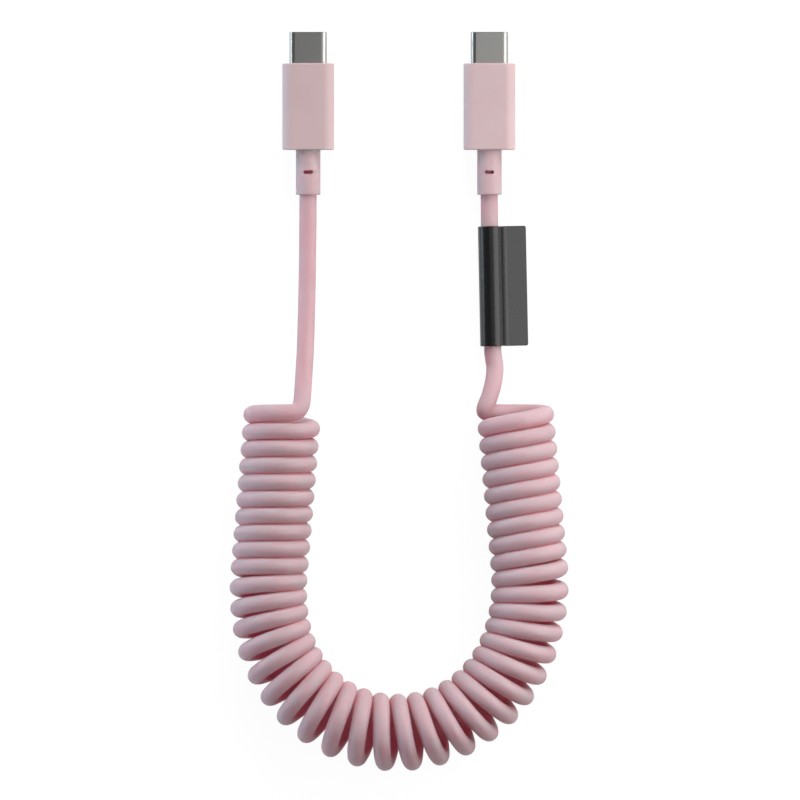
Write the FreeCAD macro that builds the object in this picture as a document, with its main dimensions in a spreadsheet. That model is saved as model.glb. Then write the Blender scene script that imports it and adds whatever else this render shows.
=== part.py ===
import FreeCAD, Part
import math
import os
import re

import Sketcher
from FreeCAD import Placement, Rotation, Vector

# A curly charging cable with a Type-C plug on each end, lying flat on a table.
# X runs across the two plugs, Y from the bend of the coil towards the plugs, Z up.
# The origin is on the table, under the middle of the whole cable.

doc = FreeCAD.newDocument("curly_cable")

# Driving dimensions in millimetres
SIZES = [
    ("cord_dia", 3.8, "outside of the cord's jacket"),
    ("coil_dia", 17.1, "outside of the curly stretch"),
    ("plug_spacing", 39.9, "between the axes of the two plugs"),
    ("housing_rear", 55.3, "from the origin to the housings' rear faces"),
    ("housing_width", 11.4, "grip housing across its flats"),
    ("housing_thick", 6.5, "grip housing between its faces"),
    ("housing_length", 19.0, "grip housing from rear to front face"),
    ("housing_corner", 2.3, "rounding of the housing's long corners"),
    ("housing_edge", 0.25, "rounding round the housing's two ends"),
    ("shell_width", 8.25, "plug shell outside"),
    ("shell_thick", 2.4, "plug shell outside"),
    ("shell_wall", 0.3, "drawn steel of the shell"),
    ("shell_reach", 6.95, "shell in front of the housing"),
    ("shell_inset", 3.6, "shell inside the housing"),
    ("shell_lip", 0.14, "rounding of the shell's mouth"),
    ("carrier_recess", 0.3, "carrier's nose behind the shell's mouth"),
    ("carrier_tail", 0.4, "carrier behind the shell's rear edge"),
    ("tongue_width", 6.85, "slot for the socket's tongue"),
    ("tongue_depth", 5.8, "slot for the socket's tongue"),
    ("contact_pitch", 0.5, "between neighbouring contact places"),
    ("contact_width", 0.26, "one spring contact"),
    ("contact_thick", 0.15, "strip that the contacts are cut from"),
    ("contact_setback", 0.7, "contact tips behind the carrier's nose"),
    ("contact_nose", 0.6, "each flank of a contact's bent nose"),
    ("contact_dip", 0.16, "nose of a contact into the slot"),
    ("contact_tail", 1.6, "contacts over the circuit card"),
    ("latch_thick", 0.25, "side latch sheet"),
    ("latch_arm", 0.3, "width of a latch arm"),
    ("latch_root", 1.2, "cross bar between the latch arms"),
    ("latch_bury", 2.4, "latch sheet behind the tongue slot"),
    ("latch_hook", 0.25, "hook of an arm into the slot"),
    ("latch_hook_length", 0.6, "each flank of a hook"),
    ("latch_setback", 0.9, "latch tips behind the carrier's nose"),
    ("latch_gap", 0.08, "between an arm and the slot's side"),
    ("spring_width", 5.2, "ground spring"),
    ("spring_length", 1.5, "ground spring"),
    ("spring_thick", 0.1, "ground spring sheet"),
    ("spring_setback", 0.8, "ground spring behind the carrier's nose"),
    ("finger_slot", 0.3, "gap between two fingers of a ground spring"),
    ("finger_pitch", 1.04, "between neighbouring finger gaps"),
    ("card_width", 7.2, "circuit card"),
    ("card_length", 7.0, "circuit card"),
    ("card_thick", 0.7, "circuit card"),
    ("chip_side", 2.2, "marker chip"),
    ("chip_height", 0.5, "marker chip"),
    ("can_width", 9.2, "shield can outside"),
    ("can_thick", 5.0, "shield can outside"),
    ("can_corner", 1.2, "shield can's long corners"),
    ("can_wall", 0.25, "shield can's sheet"),
    ("can_cover", 1.6, "shield can over the shell's rear edge"),
    ("ring_length", 2.5, "crimp ring"),
    ("ring_wall", 0.45, "crimp ring"),
    ("power_wire_dia", 0.8, "power and ground wires"),
    ("power_wire_pitch", 2.4, "between the power and ground wires"),
    ("signal_wire_dia", 0.5, "signal wires"),
    ("signal_wire_pitch", 0.8, "between neighbouring signal wires"),
    ("wire_lap", 1.8, "wires over the circuit card"),
    ("wire_start", 0.2, "jacket's cut end behind the shield can"),
    ("relief_dia", 5.4, "strain relief sleeve"),
    ("relief_length", 9.9, "sleeve behind the housing"),
    ("relief_edge", 0.2, "rounding of the sleeve's free end"),
    ("relief_spigot", 1.5, "sleeve through the housing's rear wall"),
    ("flange_width", 8.6, "flange that keeps the sleeve in the housing"),
    ("flange_thick", 1.2, "flange that keeps the sleeve in the housing"),
    ("window_width", 2.1, "flex window through the sleeve"),
    ("window_height", 0.8, "flex window through the sleeve"),
    ("strap_length", 26.4, "along the cord"),
    ("strap_edge_y", 38.45, "from the origin to the strap's edge nearest the plug"),
    ("strap_reach", 8.2, "from the cord's axis to the flap's free edge"),
    ("strap_wall", 0.56, "strap round the cord"),
    ("strap_flap", 1.3, "two bonded layers of the flap"),
    ("strap_crease", 1.8, "hollow from the loop to the flap"),
    ("strap_corner", 0.45, "rounding of the flap's two corners"),
    ("strap_edge", 0.2, "rounding of the strap's cut edges"),
    ("fit_gap", 0.02, "between pieces that are pressed or moulded together"),
    ("cord_gap", 0.05, "round the cord in its sleeve and ring"),
    ("strap_gap", 0.2, "round the cord in the strap's loop"),
    ("table_gap", 0.05, "under the flap's free edge"),
]

sheet = doc.addObject("Spreadsheet::Sheet", "Sizes")
for row, (alias, number, meaning) in enumerate(SIZES, start=1):
    sheet.set(f"A{row}", alias)
    sheet.set(f"B{row}", str(number))
    sheet.setAlias(f"B{row}", alias)
    sheet.set(f"C{row}", meaning)
doc.recompute()

ALIASES = {alias for alias, number, meaning in SIZES}

# Stations along a plug's axis, from the housing's rear face towards the mouth
FLANGE_FRONT = "(relief_spigot + flange_thick)"
CAN_REAR = f"({FLANGE_FRONT} + ring_length)"
CORD_END = f"({CAN_REAR} - wire_start)"
SHELL_REAR = "(housing_length - shell_inset)"
CAN_FRONT = f"({SHELL_REAR} + can_cover)"
MOUTH = "(housing_length + shell_reach)"
CARRIER_REAR = f"({SHELL_REAR} - carrier_tail)"
CARRIER_NOSE = f"({MOUTH} - carrier_recess)"
SLOT_FLOOR = f"({CARRIER_NOSE} - tongue_depth)"
CARD_FRONT = f"({CARRIER_REAR} - fit_gap)"
CARD_REAR = f"({CARD_FRONT} - card_length)"
LATCH_REAR = f"({SLOT_FLOOR} - latch_bury)"
SPRING_FRONT = f"({CARRIER_NOSE} - spring_setback)"

# Half heights about a plug's axis
SLOT_HALF = "(card_thick / 2 + contact_thick + fit_gap)"
CARRIER_HALF = "(shell_thick / 2 - shell_wall - fit_gap)"
AXIS_HEIGHT = "(housing_thick / 2)"

# Places in a row of twelve, counted from its middle, that hold a contact
UPPER_PLACES = (-5.5, -2.5, -1.5, -0.5, 0.5, 2.5, 5.5)
LOWER_PLACES = (-5.5, -2.5, 1.5, 2.5, 5.5)


def formula(text):
    """Puts the sheet's name before each alias in an expression."""
    return re.sub(r"[a-z_]+", lambda m: f"Sizes.{m[0]}" if m[0] in ALIASES else m[0], text)


def value(text):
    return float(sheet.evalExpression(formula(text)))


def bind(target, prop, text):
    target.setExpression(prop, formula(text))


# Sketches and the features made from them

def new_body(label):
    body = doc.addObject("PartDesign::Body", label)
    body.Label = label
    return body


def new_sketch(body, role, offset=None, slide=None):
    """An empty sketch on one of the body's own planes, moved along its normal or its second axis."""
    sketch = body.newObject("Sketcher::SketchObject", "outline")
    sketch.AttachmentSupport = [(next(f for f in body.Origin.OriginFeatures if f.Role == role), "")]
    sketch.MapMode = "FlatFace"
    if offset:
        bind(sketch, "AttachmentOffset.Base.z", offset)
    if slide:
        bind(sketch, "AttachmentOffset.Base.y", slide)
    return sketch


def dimension(sketch, kind, places, text):
    index = sketch.addConstraint(Sketcher.Constraint(kind, *places, value(text)))
    bind(sketch, f"Constraints[{index}]", text)


def join(sketch, kind, pairs):
    for pair in pairs:
        sketch.addConstraint(Sketcher.Constraint(kind, *pair))


def draw_polygon(sketch, corners):
    """A closed outline whose corners are pairs of expressions."""
    points = [Vector(value(x), value(y), 0) for x, y in corners]
    count = len(points)
    first = sketch.GeometryCount
    for i in range(count):
        sketch.addGeometry(Part.LineSegment(points[i], points[(i + 1) % count]))
    for i in range(count):
        sketch.addConstraint(Sketcher.Constraint("Coincident", first + i, 2, first + (i + 1) % count, 1))
    for i, (x, y) in enumerate(corners):
        dimension(sketch, "DistanceX", (-1, 1, first + i, 1), x)
        dimension(sketch, "DistanceY", (-1, 1, first + i, 1), y)


def draw_rectangle(sketch, width, low, high):
    left, right = f"-({width}) / 2", f"({width}) / 2"
    draw_polygon(sketch, [(left, low), (right, low), (right, high), (left, high)])


def draw_circle(sketch, diameter):
    circle = sketch.addGeometry(Part.Circle(Vector(), Vector(0, 0, 1), value(diameter) / 2))
    join(sketch, "Coincident", [(circle, 3, -1, 1)])
    dimension(sketch, "Diameter", (circle,), diameter)


def quarter(x, y, radius, start, end):
    circle = Part.Circle(Vector(x, y, 0), Vector(0, 0, 1), radius)
    return Part.ArcOfCircle(circle, math.radians(start), math.radians(end))


def draw_stadium(sketch, width, height):
    radius = value(height) / 2
    reach = value(width) / 2 - radius
    bottom = sketch.addGeometry(Part.LineSegment(Vector(-reach, -radius, 0), Vector(reach, -radius, 0)))
    right = sketch.addGeometry(quarter(reach, 0, radius, -90, 90))
    top = sketch.addGeometry(Part.LineSegment(Vector(reach, radius, 0), Vector(-reach, radius, 0)))
    left = sketch.addGeometry(quarter(-reach, 0, radius, 90, 270))
    join(sketch, "Tangent", [(bottom, 2, right, 1), (right, 2, top, 1), (top, 2, left, 1), (left, 2, bottom, 1)])
    join(sketch, "Horizontal", [(bottom,)])
    join(sketch, "Equal", [(left, right)])
    join(sketch, "Symmetric", [(left, 3, right, 3, -1, 1)])
    dimension(sketch, "DistanceX", (left, 3, right, 3), f"({width}) - ({height})")
    dimension(sketch, "Radius", (right,), f"({height}) / 2")


def draw_rounded_box(sketch, width, height, corner):
    radius = value(corner)
    x, y = value(width) / 2, value(height) / 2
    a, b = x - radius, y - radius
    bottom = sketch.addGeometry(Part.LineSegment(Vector(-a, -y, 0), Vector(a, -y, 0)))
    corner_1 = sketch.addGeometry(quarter(a, -b, radius, -90, 0))
    right = sketch.addGeometry(Part.LineSegment(Vector(x, -b, 0), Vector(x, b, 0)))
    corner_2 = sketch.addGeometry(quarter(a, b, radius, 0, 90))
    top = sketch.addGeometry(Part.LineSegment(Vector(a, y, 0), Vector(-a, y, 0)))
    corner_3 = sketch.addGeometry(quarter(-a, b, radius, 90, 180))
    left = sketch.addGeometry(Part.LineSegment(Vector(-x, b, 0), Vector(-x, -b, 0)))
    corner_4 = sketch.addGeometry(quarter(-a, -b, radius, 180, 270))
    ring = [bottom, corner_1, right, corner_2, top, corner_3, left, corner_4]
    join(sketch, "Tangent", [(ring[i], 2, ring[(i + 1) % 8], 1) for i in range(8)])
    join(sketch, "Horizontal", [(bottom,), (top,)])
    join(sketch, "Vertical", [(left,), (right,)])
    join(sketch, "Equal", [(corner_1, corner_2), (corner_2, corner_3), (corner_3, corner_4)])
    join(sketch, "Symmetric", [(corner_1, 3, corner_3, 3, -1, 1)])
    dimension(sketch, "Radius", (corner_1,), corner)
    dimension(sketch, "DistanceX", (left, 1, right, 1), width)
    dimension(sketch, "DistanceY", (bottom, 1, top, 1), height)


def extrude(body, sketch, length, cut=False, symmetric=False):
    """Pads or cuts a sketch: towards +Y from an XZ plane, or both ways from its plane."""
    before = body.Shape.Volume if cut else 0
    feature = body.newObject("PartDesign::Pocket" if cut else "PartDesign::Pad", "step")
    feature.Profile = sketch
    feature.Type = "Length"
    if symmetric:
        feature.SideType = "Symmetric"
    else:
        feature.Reversed = not cut
    bind(feature, "Length", length)
    doc.recompute()
    if cut and before - body.Shape.Volume < 1e-6:
        raise RuntimeError(f"{body.Label}: a cut took nothing away")
    return feature


def prism(body, start, end, draw, *sizes, cut=False):
    """Extrudes an outline that faces along the plug's axis, from one station to another."""
    sketch = new_sketch(body, "XZ_Plane", offset=f"-({start})")
    draw(sketch, *sizes)
    return extrude(body, sketch, f"({end}) - ({start})", cut=cut)


def plate(body, low, high, corners):
    """Extrudes an outline that is seen from above, between two heights."""
    sketch = new_sketch(body, "XY_Plane", offset=f"(({low}) + ({high})) / 2")
    draw_polygon(sketch, corners)
    return extrude(body, sketch, f"({high}) - ({low})", symmetric=True)


def round_edges(body, feature, radius, wanted):
    """Rounds the edges of the last feature that the test picks."""
    names = [f"Edge{i}" for i, edge in enumerate(feature.Shape.Edges, start=1) if wanted(edge.BoundBox)]
    fillet = body.newObject("PartDesign::Fillet", "rounding")
    fillet.Base = (feature, names)
    bind(fillet, "Radius", radius)
    doc.recompute()
    return fillet


def at_station(*stations):
    places = [value(station) for station in stations]
    return lambda box: box.YLength < 1e-6 and any(abs(box.YMin - place) < 1e-6 for place in places)


# Pieces of one plug, each in the plug's own frame

def housing(label):
    body = new_body(label)
    block = prism(body, "0", "housing_length", draw_rounded_box, "housing_width", "housing_thick", "housing_corner")
    round_edges(body, block, "housing_edge", at_station("0", "housing_length"))
    prism(body, f"{CAN_REAR} - fit_gap", f"{CAN_FRONT} + fit_gap", draw_rounded_box,
          "can_width + 2 * fit_gap", "can_thick + 2 * fit_gap", "can_corner + fit_gap", cut=True)
    prism(body, CAN_FRONT, "2 * housing_length", draw_stadium,
          "shell_width + 2 * fit_gap", "shell_thick + 2 * fit_gap", cut=True)
    prism(body, "-housing_length", "relief_spigot", draw_circle, "relief_dia + 2 * fit_gap", cut=True)
    prism(body, "relief_spigot - fit_gap", f"{FLANGE_FRONT} + fit_gap", draw_stadium,
          "flange_width + 2 * fit_gap", "relief_dia + 2 * fit_gap", cut=True)
    prism(body, FLANGE_FRONT, CAN_REAR, draw_circle,
          "cord_dia + 2 * cord_gap + 2 * ring_wall + 2 * fit_gap", cut=True)
    return body


def strain_relief(label):
    body = new_body(label)
    sleeve = prism(body, "-relief_length", "relief_spigot", draw_circle, "relief_dia")
    round_edges(body, sleeve, "relief_edge", at_station("-relief_length"))
    prism(body, "relief_spigot", FLANGE_FRONT, draw_stadium, "flange_width", "relief_dia")
    prism(body, "-2 * relief_length", "2 * relief_length", draw_circle, "cord_dia + 2 * cord_gap", cut=True)
    window = new_sketch(body, "XY_Plane", slide="-relief_length / 2")
    draw_stadium(window, "window_width", "window_height")
    extrude(body, window, "2 * relief_dia", cut=True, symmetric=True)
    return body


def crimp_ring(label):
    body = new_body(label)
    prism(body, f"{FLANGE_FRONT} + fit_gap", f"{CAN_REAR} - fit_gap", draw_circle,
          "cord_dia + 2 * cord_gap + 2 * ring_wall")
    prism(body, "0", MOUTH, draw_circle, "cord_dia + 2 * cord_gap", cut=True)
    return body


def shield_can(label):
    body = new_body(label)
    prism(body, CAN_REAR, CAN_FRONT, draw_rounded_box, "can_width", "can_thick", "can_corner")
    prism(body, f"{CAN_REAR} + can_wall", f"{CAN_FRONT} - can_wall", draw_rounded_box,
          "can_width - 2 * can_wall", "can_thick - 2 * can_wall", "can_corner - can_wall", cut=True)
    prism(body, f"{CAN_FRONT} - 2 * can_wall", MOUTH, draw_stadium,
          "shell_width + 2 * fit_gap", "shell_thick + 2 * fit_gap", cut=True)
    prism(body, "0", f"{CAN_REAR} + 2 * can_wall", draw_circle, "cord_dia + 2 * cord_gap", cut=True)
    return body


def plug_shell(label):
    body = new_body(label)
    tube = prism(body, SHELL_REAR, MOUTH, draw_stadium, "shell_width", "shell_thick")
    round_edges(body, tube, "shell_lip", at_station(MOUTH))
    prism(body, "0", "2 * housing_length", draw_stadium,
          "shell_width - 2 * shell_wall", "shell_thick - 2 * shell_wall", cut=True)
    return body


def contact_carrier(label):
    body = new_body(label)
    prism(body, CARRIER_REAR, CARRIER_NOSE, draw_stadium,
          "shell_width - 2 * shell_wall - 2 * fit_gap", f"2 * {CARRIER_HALF}")
    prism(body, SLOT_FLOOR, MOUTH, draw_rectangle, "tongue_width", f"-{SLOT_HALF}", SLOT_HALF, cut=True)
    prism(body, f"{LATCH_REAR} - fit_gap", MOUTH, draw_rectangle, "tongue_width",
          "-latch_thick / 2 - fit_gap", "latch_thick / 2 + fit_gap", cut=True)
    row = "11 * contact_pitch + contact_width + 2 * fit_gap"
    inner = "card_thick / 2 - fit_gap"
    spring_low = f"{CARRIER_HALF} - spring_thick - fit_gap"
    for side in ("", "-"):
        prism(body, "0", MOUTH, draw_rectangle, row, f"{side}({inner})", f"{side}{SLOT_HALF}", cut=True)
        prism(body, f"{SPRING_FRONT} - spring_length - fit_gap", f"{SPRING_FRONT} + fit_gap", draw_rectangle,
              "spring_width + 2 * fit_gap", f"{side}({spring_low})", f"{side}shell_thick", cut=True)
    return body


def contact_row(label, places, side):
    """Bent strips that lie on the card, pass the carrier and dip into the tongue slot."""
    strip = new_body(label + "_strip")
    tail = f"{CARRIER_REAR} - contact_tail"
    tip = f"{CARRIER_NOSE} - contact_setback"
    inner, outer = f"{side}(card_thick / 2)", f"{side}(card_thick / 2 + contact_thick)"
    dip = f"{side}contact_dip"
    nose, heel = f"{tip} - contact_nose", f"{tip} - 2 * contact_nose"
    sketch = new_sketch(strip, "YZ_Plane")
    draw_polygon(sketch, [
        (tail, inner), (heel, inner), (nose, f"{inner} - {dip}"), (tip, inner),
        (tip, outer), (nose, f"{outer} - {dip}"), (heel, outer), (tail, outer)])
    extrude(strip, sketch, "contact_width", symmetric=True)
    row = doc.addObject("Part::Feature", label)
    row.Label = label
    row.Shape = Part.Compound([
        strip.Shape.translated(Vector(place * value("contact_pitch"), 0, 0)) for place in places])
    return row


def latch_plate(label):
    body = new_body(label)
    out = "(tongue_width / 2 - latch_gap)"
    inside = f"({out} - latch_arm)"
    tip = f"({CARRIER_NOSE} - latch_setback)"
    bar = f"({LATCH_REAR} + latch_root)"
    hook, heel = f"{tip} - latch_hook_length", f"{tip} - 2 * latch_hook_length"
    right = [(inside, bar), (inside, heel), (f"{inside} - latch_hook", hook), (inside, tip), (out, tip)]
    left = [(f"-({x})", y) for x, y in right]
    corners = [(f"-{out}", LATCH_REAR), (out, LATCH_REAR)] + right[::-1] + left
    plate(body, "-latch_thick / 2", "latch_thick / 2", corners)
    return body


def ground_spring(label, side):
    body = new_body(label)
    half = "spring_width / 2"
    rear = f"{SPRING_FRONT} - spring_length"
    root = f"{SPRING_FRONT} - spring_length / 3"
    low, high = f"{CARRIER_HALF} - spring_thick", CARRIER_HALF
    corners = [(f"-{half}", SPRING_FRONT), (half, SPRING_FRONT), (half, rear)]
    for step in (1.5, 0.5, -0.5, -1.5):
        gap = f"{step} * finger_pitch"
        corners += [(f"{gap} + finger_slot / 2", rear), (f"{gap} + finger_slot / 2", root)]
        corners += [(f"{gap} - finger_slot / 2", root), (f"{gap} - finger_slot / 2", rear)]
    corners.append((f"-{half}", rear))
    levels = (low, high) if side > 0 else (f"-({high})", f"-({low})")
    plate(body, *levels, corners)
    return body


def circuit_card(label):
    body = new_body(label)
    half = "card_width / 2"
    corners = [(f"-{half}", CARD_REAR), (half, CARD_REAR), (half, CARD_FRONT), (f"-{half}", CARD_FRONT)]
    plate(body, "-card_thick / 2", "card_thick / 2", corners)
    return body


def marker_chip(label):
    body = new_body(label)
    half = "chip_side / 2"
    middle = f"({CARD_REAR} + card_length / 2)"
    rear, front = f"{middle} - {half}", f"{middle} + {half}"
    corners = [(f"-{half}", rear), (half, rear), (half, front), (f"-{half}", front)]
    plate(body, "card_thick / 2", "card_thick / 2 + chip_height", corners)
    return body


def core_wires(label):
    """Power and ground on the card's upper face, three signal wires on its lower face."""
    wires = []
    power = [(step, "power", 1) for step in (-0.5, 0.5)]
    signal = [(step, "signal", -1) for step in (-1, 0, 1)]
    for step, use, side in power + signal:
        wire = doc.addObject("Part::Cylinder", f"{use}_wire")
        wire.Placement.Rotation = Rotation(Vector(1, 0, 0), -90)
        bind(wire, "Radius", f"{use}_wire_dia / 2")
        bind(wire, "Height", f"{CARD_REAR} + wire_lap - {CORD_END}")
        bind(wire, "Placement.Base.x", f"{step} * {use}_wire_pitch")
        bind(wire, "Placement.Base.y", CORD_END)
        bind(wire, "Placement.Base.z", f"{side} * (card_thick + {use}_wire_dia) / 2")
        wires.append(wire)
    bundle = doc.addObject("Part::Compound", label)
    bundle.Label = label
    bundle.Links = wires
    return bundle


def plug(name, side):
    """All pieces of one plug, moved to its place beside the middle of the cable."""
    pieces = [
        housing(f"{name}_housing"),
        strain_relief(f"{name}_strain_relief"),
        crimp_ring(f"{name}_crimp_ring"),
        shield_can(f"{name}_shield_can"),
        plug_shell(f"{name}_plug_shell"),
        contact_carrier(f"{name}_contact_carrier"),
        contact_row(f"{name}_upper_contacts", UPPER_PLACES, ""),
        contact_row(f"{name}_lower_contacts", LOWER_PLACES, "-"),
        latch_plate(f"{name}_latch_plate"),
        ground_spring(f"{name}_upper_ground_spring", 1),
        ground_spring(f"{name}_lower_ground_spring", -1),
        circuit_card(f"{name}_circuit_card"),
        core_wires(f"{name}_core_wires"),
    ]
    if name == "right":
        pieces.append(marker_chip(f"{name}_marker_chip"))
    for piece in pieces:
        bind(piece, "Placement.Base.x", f"{side} * plug_spacing / 2")
        bind(piece, "Placement.Base.y", "housing_rear")
        bind(piece, "Placement.Base.z", AXIS_HEIGHT)
    return pieces


# The cord: two leads and the curly stretch between them

def cord_path(label, points):
    """Straight runs joined by arcs that are as large as the runs allow."""
    edges = []
    start = points[0]
    for before, corner, after in zip(points, points[1:], points[2:]):
        back, ahead = before - corner, after - corner
        turn = math.pi - back.getAngle(ahead)
        tangent = 0.45 * min(back.Length, ahead.Length)
        radius = tangent / math.tan(turn / 2)
        back.normalize()
        ahead.normalize()
        inward = (back + ahead).normalize()
        centre = corner + inward * (radius / math.cos(turn / 2))
        arc_start, arc_end = corner + back * tangent, corner + ahead * tangent
        edges.append(Part.LineSegment(start, arc_start).toShape())
        edges.append(Part.Arc(arc_start, centre - inward * radius, arc_end).toShape())
        start = arc_end
        print(f"{label}: turn {math.degrees(turn):.1f} degrees, radius {radius:.1f} mm")
    edges.append(Part.LineSegment(start, points[-1]).toShape())
    return Part.Wire(edges)


def tube(label, points, diameter):
    path = cord_path(label, points)
    section = Part.Wire(Part.Circle(points[0], points[1] - points[0], diameter / 2).toShape())
    feature = doc.addObject("Part::Feature", label)
    feature.Label = label
    feature.Shape = path.makePipeShell([section], True, False)
    expected = math.pi * diameter ** 2 / 4 * path.Length
    print(f"{label}: length {path.Length:.1f} mm, volume {feature.Shape.Volume / expected:.4f} of expected")
    if abs(feature.Shape.Volume / expected - 1) > 0.005:
        raise RuntimeError(f"{label}: the tube's volume is off")
    return feature


plug_x = value("plug_spacing / 2")
axis_z = value(AXIS_HEIGHT)
cord_end_y = value(f"housing_rear + {CORD_END}")
coil_z = value("coil_dia / 2")

# Middle of the curly stretch, from its left end round the bend to its right end
COIL_ROUTE = [
    Vector(-25.5, -0.4, coil_z),
    Vector(-29.2, -44.4, coil_z),
    Vector(-26.5, -56.9, coil_z),
    Vector(-18.2, -67.5, coil_z),
    Vector(-6.6, -72.8, coil_z),
    Vector(6.6, -72.5, coil_z),
    Vector(17.8, -66.9, coil_z),
    Vector(25.9, -56.5, coil_z),
    Vector(29.2, -43.1, coil_z),
    Vector(25.2, -0.2, coil_z),
]

# Each lead from the jacket's cut end in its plug to just inside the curly stretch
LEFT_ROUTE = [
    Vector(-plug_x, cord_end_y, axis_z),
    Vector(-plug_x, 37.0, axis_z),
    Vector(-20.6, 13.4, 9.6),
    Vector(-21.1, -1.9, 12.9),
]
RIGHT_ROUTE = [
    Vector(plug_x, cord_end_y, axis_z),
    Vector(plug_x, 43.0, axis_z),
    Vector(plug_x + 0.75, 6.6, axis_z),
    Vector(18.9, -1.5, 7.2),
]


def lead(label, points, coil):
    """A lead that stops flat against the end of the curly stretch."""
    run = tube(label + "_run", points, value("cord_dia"))
    piece = doc.addObject("Part::Cut", label)
    piece.Label = label
    piece.Base = run
    piece.Tool = coil
    return piece


# The tie strap: one strip folded round the right lead, its ends bonded into a flap

def strap(label):
    body = new_body(label)
    loop_radius = "(cord_dia / 2 + strap_gap + strap_wall)"
    outer, crease, flap = value(loop_radius), value("strap_crease"), value("strap_flap / 2")
    reach = value("strap_reach")
    rise = flap + crease
    hollow_x = math.sqrt((outer + crease) ** 2 - rise ** 2)
    slope = math.degrees(math.atan2(rise, hollow_x))

    sketch = new_sketch(body, "XZ_Plane")
    loop = sketch.addGeometry(quarter(0, 0, outer, slope, 360 - slope))
    upper = sketch.addGeometry(quarter(hollow_x, rise, crease, 180 + slope, 270))
    top = sketch.addGeometry(Part.LineSegment(Vector(hollow_x, flap, 0), Vector(reach, flap, 0)))
    end = sketch.addGeometry(Part.LineSegment(Vector(reach, flap, 0), Vector(reach, -flap, 0)))
    bottom = sketch.addGeometry(Part.LineSegment(Vector(reach, -flap, 0), Vector(hollow_x, -flap, 0)))
    lower = sketch.addGeometry(quarter(hollow_x, -rise, crease, 90, 180 - slope))
    join(sketch, "Coincident", [(loop, 3, -1, 1), (top, 2, end, 1), (end, 2, bottom, 1)])
    join(sketch, "Tangent", [(loop, 1, upper, 1), (upper, 2, top, 1), (bottom, 2, lower, 1), (lower, 2, loop, 2)])
    join(sketch, "Horizontal", [(top,), (bottom,)])
    join(sketch, "Vertical", [(end,)])
    join(sketch, "Equal", [(upper, lower)])
    dimension(sketch, "Radius", (loop,), loop_radius)
    dimension(sketch, "Radius", (upper,), "strap_crease")
    dimension(sketch, "DistanceX", (-1, 1, end, 1), "strap_reach")
    dimension(sketch, "DistanceY", (-1, 1, end, 1), "strap_flap / 2")
    dimension(sketch, "DistanceY", (-1, 1, end, 2), "-strap_flap / 2")
    block = extrude(body, sketch, "strap_length")

    flap_corner = round_edges(body, block, "strap_corner",
                              lambda box: box.XMin > reach - 1e-6 and box.YLength < 1e-6)
    round_edges(body, flap_corner, "strap_edge", at_station("0", "strap_length"))
    prism(body, "-strap_length", "2 * strap_length", draw_circle, "cord_dia + 2 * strap_gap", cut=True)

    along = RIGHT_ROUTE[1] - RIGHT_ROUTE[2]
    share = (value("strap_edge_y") - RIGHT_ROUTE[2].y) / along.y
    edge = RIGHT_ROUTE[2] + along * share
    along.normalize()
    # the flap hangs down until its free edge is on the table
    drop = axis_z - value("table_gap")
    lean = math.degrees(math.asin(drop / math.hypot(reach, flap)) - math.atan2(flap, reach))
    roll = Rotation(Vector(0, 1, 0), along).multiply(Rotation(Vector(0, 1, 0), lean))
    body.Placement = Placement(edge - along * value("strap_length"), roll)
    print(f"{label}: flap leans {lean:.1f} degrees, slides along {along.x:.5f}, {along.y:.5f}")
    return body


nodes = plug("left", -1) + plug("right", 1)
curl = tube("coil", COIL_ROUTE, value("coil_dia"))
nodes += [curl, lead("left_lead", LEFT_ROUTE, curl), lead("right_lead", RIGHT_ROUTE, curl)]
nodes.append(strap("strap"))
doc.recompute()

for item in doc.Objects:
    if "Invalid" in item.State or "Error" in item.State:
        raise RuntimeError(f"{item.Label} failed: {item.State}")
for node in nodes:
    if node.Shape.isNull() or not node.Shape.isValid() or not node.Shape.Solids:
        raise RuntimeError(f"{node.Label} has no valid solid")

os.makedirs("parts", exist_ok=True)
for node in nodes:
    node.Shape.exportStep(f"parts/{node.Label}.step")
    print(node.Label, len(node.Shape.Solids), "solids", round(node.Shape.Volume, 3), "mm3")
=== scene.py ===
from math import cos, pi, radians, sin

import bmesh
import bpy
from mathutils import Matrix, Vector


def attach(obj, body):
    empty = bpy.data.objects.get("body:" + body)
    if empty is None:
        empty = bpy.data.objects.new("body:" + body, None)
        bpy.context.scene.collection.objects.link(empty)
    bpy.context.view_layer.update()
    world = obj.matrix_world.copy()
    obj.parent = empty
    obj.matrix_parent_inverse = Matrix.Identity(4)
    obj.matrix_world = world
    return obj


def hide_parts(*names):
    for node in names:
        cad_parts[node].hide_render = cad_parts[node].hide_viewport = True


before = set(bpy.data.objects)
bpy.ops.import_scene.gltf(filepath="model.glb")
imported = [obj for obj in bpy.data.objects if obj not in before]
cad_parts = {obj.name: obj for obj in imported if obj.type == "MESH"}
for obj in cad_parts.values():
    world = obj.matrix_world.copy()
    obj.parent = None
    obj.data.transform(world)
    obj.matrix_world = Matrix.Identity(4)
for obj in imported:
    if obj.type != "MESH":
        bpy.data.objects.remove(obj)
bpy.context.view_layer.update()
scene = bpy.context.scene
scene.view_settings.view_transform = "Standard"
mm = 0.001
print("frame loaded,", len(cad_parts), "nodes")


# camera: straight down from far off, so that the cable shows in plan
cameraPlan = {
    "middle": (0.26 * mm, 0.22 * mm),
    "height": 4.0,
    "viewWidth": 176 * mm,
    "level": 6 * mm,  # height at which the view has that width
    "sensorWidth": 36,  # in millimetres, as lenses are given
}


def addCamera():
    lens = bpy.data.cameras.new("camera")
    lens.sensor_width = cameraPlan["sensorWidth"]
    distance = cameraPlan["height"] - cameraPlan["level"]
    lens.lens = lens.sensor_width * distance / cameraPlan["viewWidth"]
    camera = bpy.data.objects.new("camera", lens)
    camera.location = (*cameraPlan["middle"], cameraPlan["height"])
    scene.collection.objects.link(camera)
    scene.camera = camera


addCamera()
print("camera placed")


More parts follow.
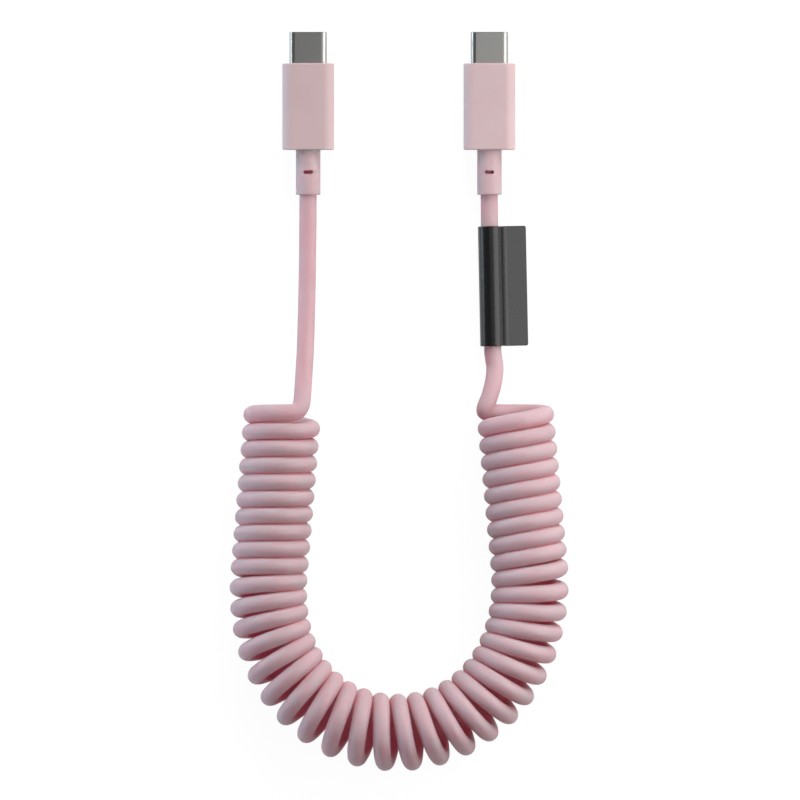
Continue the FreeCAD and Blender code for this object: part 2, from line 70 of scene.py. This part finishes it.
# shader maths: a socket that takes part in Python sums
class Wire:
    def __init__(self, tree, socket=None):
        self.tree, self.socket = tree, socket

    def node(self, kind, settings=None, inputs=None, outlet=0):
        made = self.tree.nodes.new(kind)
        for key, setting in (settings or {}).items():
            if key == "stops":
                ramp = made.color_ramp
                while len(ramp.elements) < len(setting):
                    ramp.elements.new(1)
                for stop, (place, colour) in zip(ramp.elements, setting):
                    stop.position, stop.color = place, (*colour, 1)
            else:
                setattr(made, key, setting)
        for key, value in (inputs or {}).items():
            if isinstance(value, Wire):
                self.tree.links.new(value.socket, made.inputs[key])
            else:
                made.inputs[key].default_value = value
        return Wire(self.tree, made.outputs[outlet] if made.outputs else None)

    def maths(self, operation, first, second):
        return self.node("ShaderNodeMath", {"operation": operation}, {0: first, 1: second})

    def __add__(self, other):
        return self.maths("ADD", self, other)

    def __sub__(self, other):
        return self.maths("SUBTRACT", self, other)

    def __rsub__(self, other):
        return self.maths("SUBTRACT", other, self)

    def __mul__(self, other):
        return self.maths("MULTIPLY", self, other)

    __radd__, __rmul__ = __add__, __mul__

    def noise(self, size, detail=2.0, stretch=(1, 1, 1)):
        # cloudy pattern whose blotches are about that size, in metres
        place = self.node("ShaderNodeTexCoord", outlet="Object")
        place = self.node("ShaderNodeMapping", inputs={"Vector": place, "Scale": stretch})
        sockets = {"Vector": place, "Scale": 1 / size, "Detail": detail}
        return self.node("ShaderNodeTexNoise", inputs=sockets)

    def blend(self, factor, first, second):
        # sockets 6 and 7 and outlet 2 are the ones for colours
        sockets = {"Factor": factor, 6: first, 7: second}
        return self.node("ShaderNodeMix", {"data_type": "RGBA"}, sockets, outlet=2)

    def bump(self, height, depth, strength):
        sockets = {"Height": height, "Distance": depth, "Strength": strength}
        return self.node("ShaderNodeBump", inputs=sockets)


def newMaterial(name):
    material = bpy.data.materials.new(name)
    material.use_nodes = True
    material.node_tree.nodes.clear()
    return material, Wire(material.node_tree)


def closeMaterial(wire, sockets):
    shader = wire.node("ShaderNodeBsdfPrincipled", inputs=sockets)
    wire.node("ShaderNodeOutputMaterial", inputs={"Surface": shader})


def opaque(colour):
    return (*colour, 1)


def around(middle, spread, pattern):
    # follows the pattern, half the spread to either side
    return middle + (pattern - 0.5) * spread


# what the cord, the housings and the sleeves have in common
softPlan = {
    "cloudDetail": 3.0,
    "roughnessSpread": 0.12,
    "bumpStrength": 0.6,
    "sheenRoughness": 0.5,
}


def softPink(name, look):
    # matte, slightly translucent rubbery plastic
    material, wire = newMaterial(name)
    cloud = wire.noise(look["cloudSize"], softPlan["cloudDetail"])
    grain = wire.noise(look["grainSize"])
    tone = wire.blend(cloud, opaque(look["paler"]), opaque(look["deeper"]))
    # painted shade: beyond a set distance along y, under the sleeves, the colour is swapped for a deep wine
    # red that stands in for the shade in the sleeve windows
    if "paintedWindowShade" in look:
        place = wire.node("ShaderNodeTexCoord", outlet="Object")
        forward = wire.node("ShaderNodeSeparateXYZ", inputs={"Vector": place}, outlet="Y")
        inside = wire.maths("GREATER_THAN", forward, look["paintedShadeStart"])
        tone = wire.blend(inside, tone, opaque(look["paintedWindowShade"]))
    jacket = wire.node("ShaderNodeBsdfPrincipled", {"subsurface_method": look["scatter"]}, {
        "Base Color": tone,
        "Roughness": around(look["roughness"], softPlan["roughnessSpread"], grain),
        "Normal": wire.bump(grain, look["grainDepth"], softPlan["bumpStrength"]),
        "Subsurface Weight": look["translucent"],
        "Subsurface Radius": look["redReach"],
        "Subsurface Scale": look["reach"],
        "Sheen Weight": look["sheen"],
        "Sheen Roughness": softPlan["sheenRoughness"],
        "IOR": look["gloss"],
    })
    through = wire.node("ShaderNodeBsdfTranslucent", inputs={"Color": opaque(look["through"])})
    mixed = wire.node("ShaderNodeMixShader", inputs={0: look["throughShare"], 1: jacket, 2: through})
    wire.node("ShaderNodeOutputMaterial", inputs={"Surface": mixed})
    return material


# the cord: one spline from the left plug, through the curly stretch, to the right plug
cordPlan = {
    "diameter": 3.8 * mm,
    "length": 1.88,
    "leftRoute": [
        (-19.95, 60.3, 3.25),
        (-19.95, 37.0, 3.25),
        (-20.4, 13.4, 8.6),
        (-21.0, 3.4, 11.6),
        (-21.3, -1.3, 14.0),
    ],
    "coilRoute": [
        (-25.35, 0.05, 8.55),
        (-28.0, -31.64, 8.55),  # keeps the straight leg straight
        (-29.05, -44.4, 8.55),
        (-26.45, -56.9, 8.55),
        (-18.25, -67.55, 8.55),
        (-6.65, -73.0, 8.55),
        (6.7, -72.75, 8.55),
        (17.9, -67.0, 8.55),
        (25.95, -56.5, 8.55),
        (29.3, -43.1, 8.55),
        (28.05, -29.36, 8.55),  # keeps the straight leg straight
        (25.3, 0.25, 8.55),
    ],
    "rightRoute": [
        (18.6, -2.3, 6.8),
        (20.4, 1.9, 5.6),
        (21.35, 6.9, 3.4),
        (20.72, 10.0, 3.25),  # leaves the strap straight
        (20.65, 12.3, 3.25),
        (19.75, 43.0, 3.25),
        (19.95, 60.3, 3.25),
    ],
    "middleRadius": 6.65 * mm,  # of the turns, to the cord's middle
    "turns": 41,
    "firstPhase": radians(115),  # 0 is outwards, 90 degrees is up
    "lastPhase": radians(-150),
    "firstInset": 1.1 * mm,  # turns begin this far along the curly stretch
    "lastInset": 0.05 * mm,
    "endSlack": (0.4 * mm, 0.2 * mm),  # first and last turn stand off a little
    "slackTurns": 1.6,  # over which that fades
    # share of the way along, and how close the turns are there
    "closeness": [
        (0.0, 1.0),
        (0.2, 1.0),
        (0.24, 1.1),
        (0.3, 1.09),
        (0.5, 0.95),
        (0.7, 1.09),
        (0.76, 1.1),
        (0.8, 1.0),
        (1.0, 1.0),
    ],
    "pointsPerTurn": 16,
    "guideSteps": 24,  # places read from the coil route, for each of its points
    "cordSteps": 6,  # lengths of mesh for each point of the cord
    "roundness": 7,  # bevel resolution of the cord's section
    "look": {
        "paler": (0.485, 0.393, 0.42),
        "deeper": (0.445, 0.353, 0.38),
        "paintedWindowShade": (0.5, 0.13, 0.19),  # painted shade: a deep wine red on the cord inside the sleeves, standing in for the shade seen in their windows
        "paintedShadeStart": 45.6 * mm,
        "cloudSize": 6 * mm,
        "grainSize": 0.15 * mm,
        "grainDepth": 0.01 * mm,
        "roughness": 0.5,
        "translucent": 1.0,
        "redReach": (1.0, 0.15, 0.2),
        "reach": 1.2 * mm,
        "scatter": "BURLEY",
        "sheen": 0.12,
        "gloss": 1.55,
        "through": (0.95, 0.22, 0.33),  # light that comes out on the far side is deep red
        "throughShare": 0.31,
    },
}


def metres(points):
    return [Vector(p) * mm for p in points]


def splineThrough(name, points, steps):
    curve = bpy.data.curves.new(name, "CURVE")
    curve.dimensions = "3D"
    curve.resolution_u = steps
    line = curve.splines.new("NURBS")
    line.points.add(len(points) - 1)
    for knot, point in zip(line.points, points):
        knot.co = (*point, 1)
    line.order_u = 3
    line.use_endpoint_u = True
    made = bpy.data.objects.new(name, curve)
    scene.collection.objects.link(made)
    return made


def readSpline(name, points, steps):
    guide = splineThrough(name, points, steps)
    mesh = bpy.data.meshes.new_from_object(guide)
    path = [v.co.copy() for v in mesh.vertices]
    bpy.data.meshes.remove(mesh)
    bpy.data.objects.remove(guide)
    return path


def turnFrames(path):
    # at each place along the curly stretch: distance along, middle, outward direction of the turn
    frames, along = [], 0
    for i, middle in enumerate(path):
        heading = (path[min(i + 1, len(path) - 1)] - path[max(i - 1, 0)]).normalized()
        along += (middle - path[i - 1]).length if i else 0
        frames.append((along, middle, Vector((heading.y, -heading.x, 0))))
    return frames


def closenessAt(share):
    table = cordPlan["closeness"]
    for (a, low), (b, high) in zip(table, table[1:]):
        if share <= b:
            return low + (high - low) * (share - a) / (b - a)
    return table[-1][1]


def helixPoints():
    radius, perTurn = cordPlan["middleRadius"], cordPlan["pointsPerTurn"]
    frames = turnFrames(readSpline("coilRoute", metres(cordPlan["coilRoute"]), cordPlan["guideSteps"]))
    last = frames[-1][0] - cordPlan["lastInset"]
    frames = [f for f in frames if cordPlan["firstInset"] <= f[0] <= last]
    # turns touch on the inside of the bend, so they are spaced along the inner line
    inner = [0.0]
    for (along, a, outA), (_, b, outB) in zip(frames, frames[1:]):
        step = ((b - outB * radius) - (a - outA * radius)).length
        inner.append(inner[-1] + closenessAt(along / frames[-1][0]) * step)
    sweep = cordPlan["turns"] * 2 * pi + cordPlan["firstPhase"] - cordPlan["lastPhase"]
    turns = sweep / (2 * pi)
    count = round(turns * perTurn)
    reach = radius / (0.75 + 0.25 * cos(2 * pi / perTurn))  # a spline runs inside its points
    firstSlack, lastSlack = cordPlan["endSlack"]
    slackTurns = cordPlan["slackTurns"]
    points, i = [], 0
    for step in range(count + 1):
        fromFirst = step / perTurn / slackTurns
        fromLast = (count - step) / perTurn / slackTurns
        target = (inner[-1] - firstSlack - lastSlack) * step / count
        target += firstSlack * min(1, fromFirst) + lastSlack * max(0, 1 - fromLast)
        while i < len(inner) - 2 and inner[i + 1] < target:
            i += 1
        share = (target - inner[i]) / (inner[i + 1] - inner[i])
        middle = frames[i][1].lerp(frames[i + 1][1], share)
        outward = frames[i][2].lerp(frames[i + 1][2], share).normalized()
        phase = cordPlan["firstPhase"] - sweep * step / count
        points.append(middle + reach * (cos(phase) * outward + sin(phase) * Vector((0, 0, 1))))
    print("curly stretch:", round(turns, 2), "turns,", round(inner[-1] / mm / turns, 3), "mm apart")
    return points


def addCord():
    points = metres(cordPlan["leftRoute"]) + helixPoints() + metres(cordPlan["rightRoute"])
    cord = splineThrough("curlyCord", points, cordPlan["cordSteps"])
    cord.data.bevel_depth = cordPlan["diameter"] / 2
    cord.data.bevel_resolution = cordPlan["roundness"]
    cord.data.use_fill_caps = True
    cord.data.materials.append(softPink("cordJacket", cordPlan["look"]))
    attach(cord, "cable")
    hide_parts("left_lead", "coil", "right_lead")


addCord()
print("cord laid")


# the plugs: CAD pieces with their own finishes
plugPlan = {
    "housing": {
        "paler": (0.525, 0.395, 0.405),
        "deeper": (0.485, 0.355, 0.365),
        "cloudSize": 7 * mm,
        "grainSize": 0.12 * mm,
        "grainDepth": 0.008 * mm,
        "roughness": 0.52,
        "translucent": 0.35,
        "redReach": (1.0, 0.3, 0.3),
        "reach": 0.8 * mm,
        "scatter": "RANDOM_WALK",
        "sheen": 0.1,
        "gloss": 1.45,
        "through": (1.0, 0.3, 0.35),
        "throughShare": 0.06,
    },
    "sleeve": {
        "paler": (0.52, 0.42, 0.44),
        "deeper": (0.48, 0.38, 0.4),
        "cloudSize": 5 * mm,
        "grainSize": 0.12 * mm,
        "grainDepth": 0.008 * mm,
        "roughness": 0.5,
        "translucent": 1.0,
        "redReach": (1.0, 0.25, 0.3),
        "reach": 1.5 * mm,
        "scatter": "BURLEY",
        "sheen": 0.1,
        "gloss": 1.45,
        "through": (1.0, 0.25, 0.35),
        "throughShare": 0.25,
    },
    "shell": {"tint": (0.42, 0.416, 0.402), "roughness": 0.3, "drawLines": 0.05 * mm},
    "gold": {"tint": (0.86, 0.62, 0.28), "roughness": 0.24, "drawLines": 0.04 * mm},
    "sheet": {"tint": (0.55, 0.55, 0.54), "roughness": 0.32, "drawLines": 0.08 * mm},
    "brass": {"tint": (0.72, 0.56, 0.3), "roughness": 0.35, "drawLines": 0.1 * mm},
    "copper": {"tint": (0.8, 0.42, 0.28), "roughness": 0.3, "drawLines": 0.03 * mm},
    "carrier": {"paler": (0.022, 0.022, 0.024), "deeper": (0.012, 0.012, 0.013), "roughness": 0.48},
    "chip": {"paler": (0.03, 0.03, 0.032), "deeper": (0.018, 0.018, 0.019), "roughness": 0.55},
    "card": {"paler": (0.02, 0.16, 0.07), "deeper": (0.01, 0.09, 0.04), "roughness": 0.35},
    # what all the metals have, and then all the hard plastics
    "drawn": {
        "detail": 3.0,
        "stretch": (1, 0.04, 1),  # the lines run along the plug
        "lighter": 1.04,
        "darker": 0.94,
        "roughnessSpread": 0.1,
        "lineDepth": 0.002 * mm,
        "bumpStrength": 0.3,
    },
    "hard": {
        "grainSize": 0.1 * mm,
        "grainDepth": 0.004 * mm,
        "roughnessSpread": 0.15,
        "bumpStrength": 0.4,
    },
}


def drawnMetal(name, look):
    # bare metal with faint lines along the plug
    material, wire = newMaterial(name)
    drawn, tint = plugPlan["drawn"], Vector(look["tint"])
    lines = wire.noise(look["drawLines"], drawn["detail"], drawn["stretch"])
    closeMaterial(wire, {
        "Base Color": wire.blend(lines, opaque(tint * drawn["lighter"]), opaque(tint * drawn["darker"])),
        "Metallic": 1.0,
        "Roughness": around(look["roughness"], drawn["roughnessSpread"], lines),
        "Normal": wire.bump(lines, drawn["lineDepth"], drawn["bumpStrength"]),
    })
    return material


def moulded(name, look):
    # hard inner plastic with a fine moulded grain
    material, wire = newMaterial(name)
    hard = plugPlan["hard"]
    grain = wire.noise(hard["grainSize"])
    closeMaterial(wire, {
        "Base Color": wire.blend(grain, opaque(look["paler"]), opaque(look["deeper"])),
        "Roughness": around(look["roughness"], hard["roughnessSpread"], grain),
        "Normal": wire.bump(grain, hard["grainDepth"], hard["bumpStrength"]),
    })
    return material


def dressPlugs():
    gold = drawnMetal("contactGold", plugPlan["gold"])
    sheet = drawnMetal("sheetSteel", plugPlan["sheet"])
    finishes = {
        "housing": softPink("housingPlastic", plugPlan["housing"]),
        "strain_relief": softPink("sleevePlastic", plugPlan["sleeve"]),
        "plug_shell": drawnMetal("shellSteel", plugPlan["shell"]),
        "upper_contacts": gold,
        "lower_contacts": gold,
        "latch_plate": sheet,
        "upper_ground_spring": sheet,
        "lower_ground_spring": sheet,
        "shield_can": sheet,
        "crimp_ring": drawnMetal("ringBrass", plugPlan["brass"]),
        "core_wires": drawnMetal("wireCopper", plugPlan["copper"]),
        "contact_carrier": moulded("carrierBlack", plugPlan["carrier"]),
        "marker_chip": moulded("chipBlack", plugPlan["chip"]),
        "circuit_card": moulded("cardGreen", plugPlan["card"]),
    }
    for node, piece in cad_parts.items():
        finish = finishes.get(node.partition("_")[2])
        if finish:
            piece.data.materials.clear()
            piece.data.materials.append(finish)


dressPlugs()
print("plugs dressed")


# the tie strap round the right lead
strapPlan = {
    "paler": (0.006, 0.006, 0.0062),
    "deeper": (0.003, 0.003, 0.0031),
    "roughness": 0.29,
    "roughnessSpread": 0.12,
    "grainSize": 0.25 * mm,
    "grainDetail": 3.0,
    "grainDepth": 0.012 * mm,
    "bumpStrength": 0.4,
    "gloss": 1.5,
}


def satinBlack(name, look):
    material, wire = newMaterial(name)
    grain = wire.noise(look["grainSize"], look["grainDetail"])
    closeMaterial(wire, {
        "Base Color": wire.blend(grain, opaque(look["paler"]), opaque(look["deeper"])),
        "Roughness": around(look["roughness"], look["roughnessSpread"], grain),
        "Normal": wire.bump(grain, look["grainDepth"], look["bumpStrength"]),
        "IOR": look["gloss"],
    })
    return material


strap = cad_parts["strap"]
strap.data.materials.clear()
strap.data.materials.append(satinBlack("strapBlack", strapPlan))
print("strap dressed")


# floor, world and lamps
stagePlan = {
    "floorSize": 12.0,
    "floorColour": (0.5, 0.5, 0.5),
    "floorGlow": 1.12,  # with the paper's share the floor comes to white
    "glowShare": 0.85,  # the rest is paper, which keeps the shadow
    "darkest": (-0.35, -0.5, 0.79),  # the studio is dim overhead and in front
    "sky": [(0.0, 0.36), (0.25, 0.16), (0.5, 0.1), (0.78, 0.2), (1.0, 0.04)],  # nearness to that, and grey
    "unmirrored": ["topLamp", "leftFill", "rightFill", "bendFill"],  # not seen in steel or strap
    "lamps": [
        # name, place in metres, width and height, power in watts, colour
        ("topLamp", (0.45, 2.85, 1.5), (2.7, 1.2), 121.0, (1.0, 0.99, 0.98)),
        ("rightLamp", (0.252, 0.018, 0.162), (0.36, 0.28), 0.85, (1.0, 0.99, 0.98)),
        ("leftLamp", (-0.9, 0.05, 0.09), (2.4, 0.18), 9.0, (0.68, 0.87, 1.0)),
        ("leftFill", (-0.9, 0.05, 0.11), (2.4, 0.2), 7.0, (0.68, 0.87, 1.0)),
        ("rightFill", (0.12, 0.03, 0.12), (0.1, 0.1), 0.06, (1.0, 0.99, 0.98)),
        ("bendFill", (0.0, -0.075, 0.12), (0.1, 0.1), 0.014, (1.0, 1.0, 1.0)),
        ("overLamp", (0.055, 0.08, 0.3), (0.11, 0.12), 0.038, (1.0, 1.0, 1.0)),
    ],
}


def addFloor():
    grid = bmesh.new()
    bmesh.ops.create_grid(grid, x_segments=1, y_segments=1, size=stagePlan["floorSize"] / 2)
    mesh = bpy.data.meshes.new("floor")
    grid.to_mesh(mesh)
    grid.free()
    floor = bpy.data.objects.new("floor", mesh)
    scene.collection.objects.link(floor)
    material, wire = newMaterial("floorPaper")
    paper = wire.node("ShaderNodeBsdfDiffuse", inputs={"Color": opaque(stagePlan["floorColour"])})
    bright = wire.node("ShaderNodeEmission", inputs={"Strength": stagePlan["floorGlow"]})
    # what looks at the floor directly, or in steel, finds it white
    seen = wire.node("ShaderNodeLightPath", outlet="Is Camera Ray")
    seen = seen + wire.node("ShaderNodeLightPath", outlet="Is Glossy Ray")
    seen = seen + wire.node("ShaderNodeLightPath", outlet="Is Transmission Ray")
    mixed = wire.node("ShaderNodeMixShader", inputs={0: seen * stagePlan["glowShare"], 1: paper, 2: bright})
    wire.node("ShaderNodeOutputMaterial", inputs={"Surface": mixed})
    mesh.materials.append(material)


def addWorld():
    world = bpy.data.worlds.new("studio")
    world.use_nodes = True
    scene.world = world
    world.node_tree.nodes.clear()
    wire = Wire(world.node_tree)
    direction = wire.node("ShaderNodeTexCoord", outlet="Generated")
    sockets = {0: direction, 1: stagePlan["darkest"]}
    nearness = wire.node("ShaderNodeVectorMath", {"operation": "DOT_PRODUCT"}, sockets, outlet="Value")
    stops = [(place, (grey, grey, grey)) for place, grey in stagePlan["sky"]]
    sky = wire.node("ShaderNodeValToRGB", {"stops": stops}, {"Fac": nearness})
    glow = wire.node("ShaderNodeBackground", inputs={"Color": sky})
    wire.node("ShaderNodeOutputWorld", inputs={"Surface": glow})


def addLamps():
    for name, place, size, power, colour in stagePlan["lamps"]:
        lamp = bpy.data.lights.new(name, "AREA")
        lamp.shape = "RECTANGLE"
        lamp.size, lamp.size_y = size
        lamp.energy, lamp.color = power, colour
        holder = bpy.data.objects.new(name, lamp)
        holder.location = place
        holder.rotation_euler = (-Vector(place)).to_track_quat("-Z", "Y").to_euler()
        holder.visible_glossy = name not in stagePlan["unmirrored"]
        scene.collection.objects.link(holder)


addFloor()
addWorld()
addLamps()
print("stage set")
